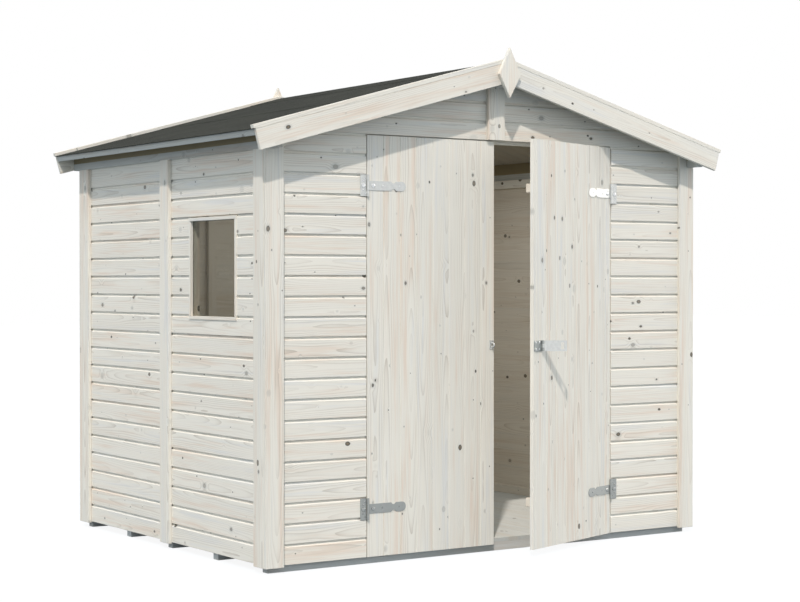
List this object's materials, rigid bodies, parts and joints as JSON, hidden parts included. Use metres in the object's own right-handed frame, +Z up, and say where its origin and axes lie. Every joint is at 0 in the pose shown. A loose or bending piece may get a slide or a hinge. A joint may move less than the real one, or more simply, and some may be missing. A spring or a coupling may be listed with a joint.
{
  "type": "wooden garden shed",
  "caption": "Small wooden garden shed with horizontal cladding, felted apex roof, double boarded doors on T hinges, one leaf ajar, and a fixed side window.",
  "frame": {"origin": "centre of the footprint on the ground, on the underside of the middle bearer", "axes": "+X to the right along the front wall, +Y from the front to the back, +Z up; the doors face -Y"},
  "size_m": [2.6308, 2.2697, 2.2915],
  "materials": {
    "wood_front": "matt, whitewashed spruce cladding",
    "wood_trim": "matt, whitewashed planed spruce",
    "wood_door": "matt, whitewashed tongued and grooved spruce",
    "raw_timber": "matt, plain sawn spruce",
    "felt": "matt bitumen roofing felt with fine mineral grit",
    "zinc": "satin, zinc plated",
    "pane": "clear, polished"
  },
  "bodies": {
    "shed": {"bearers": "raw_timber", "floor_deck": "raw_timber", "front_wall_left": "wood_front", "front_wall_right": "wood_front", "front_gable": "wood_front", "rear_wall": "wood_front", "rear_gable": "wood_front", "left_wall_front": "wood_front", "left_wall_rear": "wood_front", "right_wall": "wood_front", "wall_studs": "raw_timber", "wall_rails": "raw_timber", "door_posts": "raw_timber", "front_corner_trims": "wood_trim", "rear_corner_trims": "wood_trim", "left_side_trims": "wood_trim", "right_side_trims": "wood_trim", "front_gable_trim": "wood_trim", "rear_gable_trim": "wood_trim", "eaves_beam_left": "wood_trim", "eaves_beam_right": "wood_trim", "ridge_beam": "raw_timber", "roof_boards_left": "raw_timber", "roof_boards_right": "raw_timber", "roof_felt_left": "felt", "roof_felt_right": "felt", "fascia_left": "wood_trim", "fascia_right": "wood_trim", "front_bargeboards": "wood_trim", "rear_bargeboards": "wood_trim", "front_verge_strips": "wood_trim", "rear_verge_strips": "wood_trim", "front_finial": "wood_trim", "rear_finial": "wood_trim", "window_frame": "wood_trim", "window_pane": "pane", "hinge_plates": "zinc"},
    "door_left": {"door_left_leaf": "wood_door", "door_left_ledges": "wood_trim", "door_left_hinge_straps": "zinc", "door_left_staple": "zinc"},
    "door_right": {"door_right_leaf": "wood_door", "door_right_ledges": "wood_trim", "door_right_hinge_straps": "zinc", "door_right_hasp_plate": "zinc"},
    "hasp": {"hasp_strap": "zinc"}
  },
  "joints": [
    {"name": "door_left_hinge", "type": "hinge", "parent": "shed", "child": "door_left", "pos_m": [-0.691, -0.937, 0.95], "axis": [0, 0, -1], "range_deg": [0, 160]},
    {"name": "door_right_hinge", "type": "hinge", "parent": "shed", "child": "door_right", "pos_m": [0.691, -0.937, 0.95], "axis": [0, 0, 1], "range_deg": [-20, 140]},
    {"name": "hasp_hinge", "type": "hinge", "parent": "door_right", "child": "hasp", "pos_m": [0.10942, -1.15187, 0.946], "axis": [0, 0, 1], "range_deg": [-122, 55]}
  ]
}
